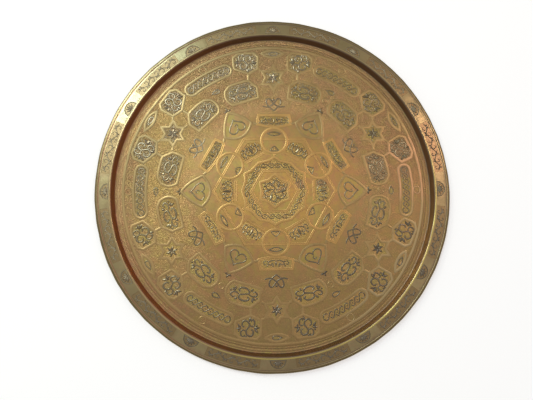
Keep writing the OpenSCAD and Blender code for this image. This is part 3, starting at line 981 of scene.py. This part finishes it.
def new_material(name):
    return Nodes(bpy.data.materials.new(name))


def wiping_marks(n):
    """Fine marks that run round the tray, as a height."""
    place = n.add("CombineXYZ", {0: n.times(n.radius(), 1400.0), 1: n.times(n.noise(9, 2), 6.0)})
    return n.noise(1.0, 3.0, 0.5, place=place.outputs[0])


def scratches(n, degrees):
    """Long fine scratches in one direction, as a height."""
    mapping = n.add("Mapping", {
        "Vector": n.place, "Rotation": (0, 0, math.radians(degrees)), "Scale": (14, 900, 14)})
    return n.noise(1.0, 2.0, 0.5, place=mapping.outputs["Vector"])


# Radii in metres. A pair is where one zone of the tray fades into the next.
FOOT_EDGE, LIP_EDGE = 0.2684, 0.2752
ONTO_RIM = (LIP_EDGE - 0.0014, LIP_EDGE)
PAST_LIP = (0.270, 0.276)
OFF_FLOOR = (0.262, 0.27)
OUT_OF_WELL = (0.2665, 0.2685)
BEAD = (0.2952, 0.2968)
# Grooves that hold dirt: (radius, half width, darkness).
GROOVES = ((0.2940, 0.0007, 0.75), (0.2614, 0.0004, 0.5), (0.2665, 0.0006, 0.35), (0.2768, 0.0003, 0.4))

GOLDEN, BROWN, OLIVE = (0.62, 0.415, 0.13), (0.46, 0.275, 0.155), (0.47, 0.38, 0.17)
WARM_GOLD, YELLOW_GOLD = (0.82, 0.475, 0.145), (0.71, 0.51, 0.15)
# Dirt colours. The reddish one, used on the left half, also paints a warm reflection on the wall there.
DIRT_WITH_WARM_REFLECTION, GREY_DIRT = (0.455, 0.215, 0.125), (0.26, 0.178, 0.125)


def pink_glint_panel(n):
    """The one rim panel, right of the middle, where a pink glint of the warm lamp is painted."""
    return n.times(n.rise(n.facing(16), 0.977, 0.983), n.rise(n.radius(), *PAST_LIP))


def grime_and_wall_shade(n, r):
    """How thick the dirt lies in specks all over and in the grooves, and how dark the wall is, partly for
    dirt and partly as painted shade.
    """
    # The wall is darkened partly for its dirt and partly as painted shade.
    wall = n.times(n.rise(r, FOOT_EDGE, FOOT_EDGE + 0.0012), n.fall(r, *ONTO_RIM))
    dirt = n.math("MAXIMUM", n.times(n.fall(n.cells(210), 0.05, 0.17), 0.5), n.times(wall, 0.9))
    for groove_r, half, darkness in GROOVES:
        away = n.math("ABSOLUTE", n.math("SUBTRACT", r, groove_r))
        dirt = n.math("MAXIMUM", dirt, n.times(n.fall(away, half * 0.5, half * 2), darkness))
    return dirt


def old_brass(n, r):
    """The colour of the bare sheet, before the chasing and the dirt. Painted highlights and sheen lighten it
    towards the upper left and on the lip, and painted shade darkens it towards the upper right.
    """
    on_rim, in_well = n.rise(r, *ONTO_RIM), n.fall(r, *OUT_OF_WELL)
    middle = n.mix(n.rise(n.noise(21, 4, 0.55, 0.3), 0.42, 0.62), WARM_GOLD, YELLOW_GOLD)
    patches = n.noise(75, 4, 0.62, 0.5)
    # The lip at the top of the wall is rubbed lighter, with a painted yellow highlight on it towards the
    # lower right.
    lip = n.times(n.rise(r, LIP_EDGE - 0.0006, LIP_EDGE), n.fall(r, LIP_EDGE + 0.0008, LIP_EDGE + 0.0022))
    lip_wear_and_highlight_tone = n.mix(n.rise(n.towards(-50), 0.05, 0.22), (0.66, 0.52, 0.25), (0.98, 0.80, 0.22))
    # Painted highlight: the edge of the floor by the wall is lighter towards the upper left.
    foot_highlight = n.times(n.rise(r, 0.2565, 0.2585), n.rise(n.towards(152), 0.17, 0.235), in_well)
    # Painted sheen: the outer floor is brighter gold in a narrow stretch towards the upper left.
    upper_left_sheen = n.times(n.rise(r, 0.225, 0.245), n.rise(n.facing(152), 0.965, 0.992), in_well)
    return n.layers(
        GOLDEN,
        (BROWN, n.rise(n.noise(17, 5, 0.62, 0.4), 0.35, 0.68)),
        (OLIVE, n.rise(n.noise(9, 3, 0.5), 0.45, 0.7)),
        (middle, n.fall(r, 0.03, 0.19)),
        ((0.40, 0.295, 0.148), n.rise(r, 0.20, 0.26), 0.6),
        ((0.555, 0.455, 0.125), n.rise(patches, 0.50, 0.58), n.span(r, 0.06, 0.15, 0.15, 0.6)),
        ((0.69, 0.375, 0.165), n.fall(patches, 0.42, 0.50), 0.62),
        ((0.53, 0.425, 0.225), on_rim, 0.8),
        (BROWN, n.rise(n.noise(130, 4, 0.6), 0.45, 0.8), 0.45),
        ((0.36, 0.27, 0.14), n.rise(n.noise(14, 4, 0.6, 0.5), 0.42, 0.62), on_rim, 0.5),
        # Painted highlight: the rim is paler and greener towards the upper left, where the window's highlight
        # falls.
        ((0.55, 0.51, 0.30), n.rise(n.facing(137), 0.92, 0.975), on_rim, 0.8),
        (lip_wear_and_highlight_tone, lip, 0.8),
        ((0.74, 0.56, 0.27), foot_highlight, 0.75),
        ((0.84, 0.60, 0.19), upper_left_sheen, n.rise(n.noise(34, 3, 0.5), 0.36, 0.56), 0.6),
        # Painted shade: darker and more olive towards the upper right.
        ((0.30, 0.25, 0.115), n.rise(n.towards(72), 0.0, 0.24), 0.42))


def unworn(n):
    """Less than one towards the lower half, which is rubbed smooth."""
    return n.span(n.towards(108), -0.12, 0.07, 0.35, 1)


def brass_field(n, r, colour, roughness, normal):
    """The field between the cells, chased all over with fine curls."""
    curl_lines = n.noise(300, 4, 0.65, 2.5)
    chased = n.times(n.rise(r, 0.12, 0.17), unworn(n))
    colour = n.layers(
        colour,
        ((0.53, 0.285, 0.135), n.rise(r, 0.07, 0.14), 0.45),
        # Painted shade: the outer field is darker towards the upper left, so the strips' highlights there
        # stand out.
        ((0.28, 0.18, 0.09), n.rise(n.towards(128), 0.11, 0.20), n.fall(r, 0.254, 0.259), 0.42),
        ((0.46, 0.34, 0.13), n.rise(n.towards(-58), 0.06, 0.19), 0.45),
        ((0.70, 0.51, 0.16), n.rise(n.towards(178), 0.09, 0.18), n.fall(r, 0.22, 0.25), 0.35),
        ((0.33, 0.21, 0.10), n.fall(curl_lines, 0.36, 0.52), chased, 0.7),
        ((0.66, 0.47, 0.19), n.rise(curl_lines, 0.56, 0.68), chased, 0.4))
    return colour, roughness, n.bump(n.times(curl_lines, chased), 0.0010, 0.8, normal)


def brass_ground(n, r, colour, roughness, normal):
    """The sunk ground of the cells, punched with small pits, and the rim's."""
    stipple, flecks = n.cells(1000), n.noise(750, 2, 0.5, 0.6)
    rim, on_floor = n.rise(r, *PAST_LIP), n.fall(r, *OFF_FLOOR)
    # Painted glints: towards the upper left the punched ground gets dark and bright flecks that paint the
    # window's glints.
    glint_flecks = n.times(n.rise(n.towards(135), 0.10, 0.19), on_floor)
    # On the rim the ground is darker brown, and pinkish on the one panel where the pink glint is painted.
    rim_dirt_and_pink_glint = n.mix(pink_glint_panel(n), (0.30, 0.20, 0.115), (0.60, 0.365, 0.215))
    colour = n.layers(
        colour,
        ((0.62, 0.43, 0.15), 0.4),
        ((0.38, 0.275, 0.12), n.fall(stipple, 0.1, 0.55), unworn(n), 0.8),
        ((0.17, 0.14, 0.105), n.fall(flecks, 0.38, 0.47), glint_flecks, 0.65),
        ((0.80, 0.70, 0.50), n.rise(flecks, 0.53, 0.60), glint_flecks, 0.8),
        # Painted pink reflection of the warm side lamp on the cells' ground towards the right.
        ((0.44, 0.25, 0.16), n.rise(n.facing(14), 0.985, 0.992), on_floor, 0.55),
        (rim_dirt_and_pink_glint, rim, 0.55))
    roughness = n.layers(n.grade(stipple, 0.52, 0.38, 0.1, 0.6), ((0.35,) * 3, rim, 0.7))
    pits = n.times(stipple, n.fall(r, 0.24, 0.29), unworn(n))
    return colour, roughness, n.bump(pits, 0.0007, 0.85, normal)


def brass_material(name, finish=None):
    """Old brass. It is golden in the worn middle, browner outwards, dark in grooves, and dark on the wall,
    partly with dirt and partly as painted shade, with a painted warm reflection on the left.
    """
    n = new_material(name)
    r = n.radius()
    colour = old_brass(n, r)
    roughness = n.layers(n.grade(n.noise(40, 4, 0.6), 0.32, 0.44), ((0.25,) * 3, n.rise(r, *ONTO_RIM), 0.6))
    normal = n.bump(n.noise(55, 2, 0.4), 0.0005, 0.5)
    normal = n.bump(wiping_marks(n), 0.00004, 0.6, normal)
    normal = n.bump(scratches(n, 33), 0.00003, 0.5, normal)
    if finish:
        colour, roughness, normal = finish(n, r, colour, roughness, normal)
    # Dirt is reddish on the left half, which paints the warm reflection on the left wall, and grey on the
    # right.
    dirt = n.mix(n.rise(n.towards(0), -0.24, 0.02), DIRT_WITH_WARM_REFLECTION, GREY_DIRT)
    colour = n.layers(colour, (dirt, grime_and_wall_shade(n, r)), ((0.25, 0.185, 0.085), n.rise(r, *BEAD), 0.85))
    return n.metal(colour, roughness, normal)


def copper_material(name, light, middle, dark):
    """Copper strips in mottled tones, with painted highlights, a painted pink reflection and painted shade in
    places round the tray.
    """
    n = new_material(name)
    outside = n.rise(n.radius(), 0.19, 0.22)
    # Towards the left the outer strips are rougher, and painted darker as painted shade that hides the
    # window's glints there.
    dull = n.times(n.rise(n.facing(168), 0.90, 0.98), outside)
    colour = n.layers(
        light,
        (middle, n.rise(n.noise(12, 3, 0.5), 0.4, 0.65)),
        (dark, n.rise(n.noise(30, 5, 0.6, 0.3), 0.35, 0.7)),
        ((0.26, 0.14, 0.07), n.rise(n.noise(260, 3), 0.55, 0.8), 0.4),
        # Painted highlight tint: darker and less red towards the upper left, so the window's highlights on
        # the strips read cream.
        ((0.40, 0.32, 0.165), n.rise(n.towards(130), 0.15, 0.22), 0.45),
        # Painted highlight: the outer strips are paler towards the lower right.
        ((0.68, 0.55, 0.30), n.rise(n.towards(-35), 0.19, 0.24), 0.5),
        ((0.63, 0.39, 0.165), n.rise(n.towards(238), 0.07, 0.16), 0.42),
        # Painted pink reflection of the warm side lamp on the outer strips towards the right.
        ((0.82, 0.47, 0.27), n.rise(n.facing(9), 0.965, 0.985), outside, 0.5),
        ((0.36, 0.265, 0.125), dull, 0.6))
    roughness = n.layers(n.grade(n.noise(90, 4), 0.34, 0.44), ((0.52,) * 3, dull, 0.6))
    normal = n.bump(n.noise(300, 3), 0.00006, 0.6)
    return n.metal(colour, roughness, n.bump(scratches(n, -20), 0.00002, 0.4, normal))


def silver_material(name, light, dark, dull=0.0):
    """Tarnished silver, with a painted highlight towards the upper left and painted shade towards the bottom
    and on the rim panel with the painted pink glint.
    """
    n = new_material(name)
    # Painted highlight: the silver is lighter towards the upper left, where the window glints on it.
    window_glint = n.times(n.rise(n.towards(125), 0.08, 0.20), n.fall(n.radius(), *OFF_FLOOR))
    colour = n.layers(
        light,
        (dark, n.rise(n.noise(60, 5, 0.6), 0.3, 0.7)),
        ((0.36, 0.32, 0.26), n.rise(n.noise(420, 3), 0.55, 0.8), 0.6),
        # Painted shade: the silver is darker towards the bottom.
        ((0.17, 0.148, 0.135), n.rise(n.towards(-70), 0.02, 0.17), 0.5),
        ((0.70, 0.67, 0.58), window_glint, 0.16),
        # Painted shade: the silver is dark on the rim panel where the pink glint is painted.
        ((0.22, 0.15, 0.10), pink_glint_panel(n), 0.8))
    roughness = n.grade(n.noise(150, 4), 0.26 + dull, 0.38 + dull)
    return n.metal(colour, roughness, n.bump(n.noise(500, 3), 0.0001, 0.6))


def mottled_material(name, tones, mottle, roughness, matting, bump):
    """Two tones that run into each other. The noises for colour and roughness are mottle and matting."""
    n = new_material(name)
    grain, distance, strength = bump
    return n.metal(n.mix(n.noise(*mottle), *tones), n.grade(n.noise(*matting), *roughness),
                   n.bump(n.noise(grain, 3), distance, strength))


# ---- Pieces ----

def settle(obj, node):
    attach(obj, "root")
    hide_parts(node)


# The near-black sides of the silver strips are partly tarnish and partly painted shade of the grooves they
# sit in.
black = mottled_material("tarnish_and_groove_shade", ((0.042, 0.032, 0.026), (0.11, 0.08, 0.055)), (300, 4),
                         (0.4, 0.6), (200, 3), (600, 0.0001, 0.5))
side = mottled_material("copper_side", ((0.42, 0.25, 0.12), (0.30, 0.17, 0.08)), (120, 4),
                        (0.35, 0.5), (200, 3), (500, 0.0001, 0.5))
iron = mottled_material("iron_wire", ((0.16, 0.12, 0.09), (0.30, 0.24, 0.19)), (200, 5),
                        (0.45, 0.7), (300, 4), (600, 0.0002, 1.0))
brass = [brass_material("brass_field", brass_field), brass_material("brass_ground", brass_ground),
         brass_material("brass_smooth")]
ridge = copper_material("copper_ridge", (0.59, 0.41, 0.18), (0.555, 0.385, 0.168), (0.48, 0.33, 0.14))
golden = copper_material("golden_ridge", (0.82, 0.50, 0.175), (0.77, 0.475, 0.165), (0.69, 0.42, 0.15))
hollow = copper_material("golden_hollow", (0.78, 0.465, 0.165), (0.72, 0.44, 0.155), (0.62, 0.38, 0.135))
rubbed = silver_material("rubbed_silver", (0.50, 0.41, 0.25), (0.38, 0.30, 0.175))
pale = silver_material("rim_silver", (0.55, 0.47, 0.31), (0.40, 0.33, 0.21), 0.2)
dark = silver_material("tarnished_silver", (0.46, 0.375, 0.22), (0.30, 0.23, 0.13))
dull = silver_material("field_silver", (0.37, 0.30, 0.18), (0.22, 0.17, 0.10))

settle(sheet_object(brass), "tray_sheet")
settle(wire_object(iron), "edge_wire")
for node, strokes in COPPER.items():
    profile = DOUBLE_BAR if node in DOUBLE else BAR
    materials = [golden, side, hollow] if node in IN_THE_MIDDLE else [ridge, side]
    strips = Strips(FLOOR_Z - GROOVE_DEPTH, FLOOR_Z + STRAP_PROUD, profile, strokes)
    settle(strips.build(node.replace("strap", "copper_strip"), materials), node)
for node, strokes in (SILVER | RIM_SILVER).items():
    top_z, proud, materials = FLOOR_Z, SILVER_PROUD, [dark, black, rubbed]
    if node in RIM_SILVER:
        top_z, materials = RIM_Z, [pale, black, pale]
    if node in IN_THE_FIELD:
        proud, materials = FIELD_SILVER_PROUD, [dull, black, rubbed]
    strips = Strips(top_z - GROOVE_DEPTH, top_z + proud, ROUNDED, strokes)
    settle(strips.build(node.replace("inlay", "silver_strip"), materials), node)


# ---- Floor, light and camera ----

FLOOR_HALF = 20.0
LENS_MM, SENSOR_MM = 29.04315, 36.0
# The camera's distance and sideways shift are in tray radii.
CAMERA_DISTANCE = 2.416
CAMERA_SHIFT = (0.0501, 0.0561)
CAMERA_TURNS = (-6.23, 2.63, 0.78)


def stage_floor():
    mesh = bpy.data.meshes.new("floor")
    corners = [(x * FLOOR_HALF, y * FLOOR_HALF, 0) for x, y in ((-1, -1), (1, -1), (1, 1), (-1, 1))]
    mesh.from_pydata(corners, [], [(0, 1, 2, 3)])
    n = new_material("pale_floor")
    n.feed(n.tree.nodes["Principled BSDF"], {
        "Base Color": (0.9,) * 3, "Roughness": 0.9, "Emission Color": (1,) * 3, "Emission Strength": 0.46})
    mesh.materials.append(n.owner)
    new_object("floor", mesh)


def area_light(name, location, aim, size, power, colour):
    data = bpy.data.lights.new(name, "AREA")
    data.shape = "DISK"
    data.size = size
    data.energy = power
    data.color = colour
    obj = new_object(name, data)
    obj.location = location
    obj.rotation_euler = (Vector(aim) - Vector(location)).to_track_quat("-Z", "Y").to_euler()


def stage_world():
    """A room that is lighter towards the window side, upper left."""
    world = bpy.data.worlds.new("studio")
    bpy.context.scene.world = world
    n = Nodes(world, "Generated")
    colour = n.ramp(n.along((-0.62, 0.60, 0.50)),
                    (0.0, (0.32, 0.30, 0.30)), (0.30, (0.345, 0.335, 0.335)), (0.50, (0.455, 0.45, 0.445)),
                    (0.72, (0.37, 0.37, 0.365)), (1.0, (0.42, 0.43, 0.41)))
    n.feed(n.tree.nodes["Background"], {"Color": colour})


def stage_lights():
    area_light("window", (-1.12, 1.22, 2.55), (-0.2, 0.15, 0), 0.76, 16.0, (0.86, 1.0, 1.02))
    area_light("low_window", (-1.6, 1.3, 1.85), (-0.05, 0, 0), 0.6, 8.2, (1.0, 1.0, 0.84))
    area_light("warm_fill", (1.25, -0.15, 2.6), (0, 0, 0), 1.4, 0.95, (1.0, 0.88, 0.78))
    area_light("warm_side", (1.34, 0.68, 2.30), (0.28, 0.08, 0), 0.20, 3.6, (1.0, 0.70, 0.60))


def stage_camera():
    data = bpy.data.cameras.new("camera")
    data.lens = LENS_MM
    data.sensor_width = SENSOR_MM
    x, y, z = (Matrix.Rotation(math.radians(a), 3, axis) for a, axis in zip(CAMERA_TURNS, "XYZ"))
    turn = (x @ y @ z).transposed()
    shift = turn @ Vector((*CAMERA_SHIFT, -CAMERA_DISTANCE)) * SHEET_HIGH.x
    obj = new_object("camera", data)
    obj.matrix_world = Matrix.Translation(Vector((0, 0, SHEET_HIGH.z)) - shift) @ turn.to_4x4()
    bpy.context.scene.camera = obj


stage_floor()
stage_world()
stage_lights()
stage_camera()
bpy.context.scene.view_settings.view_transform = "Standard"

bpy.context.view_layer.update()
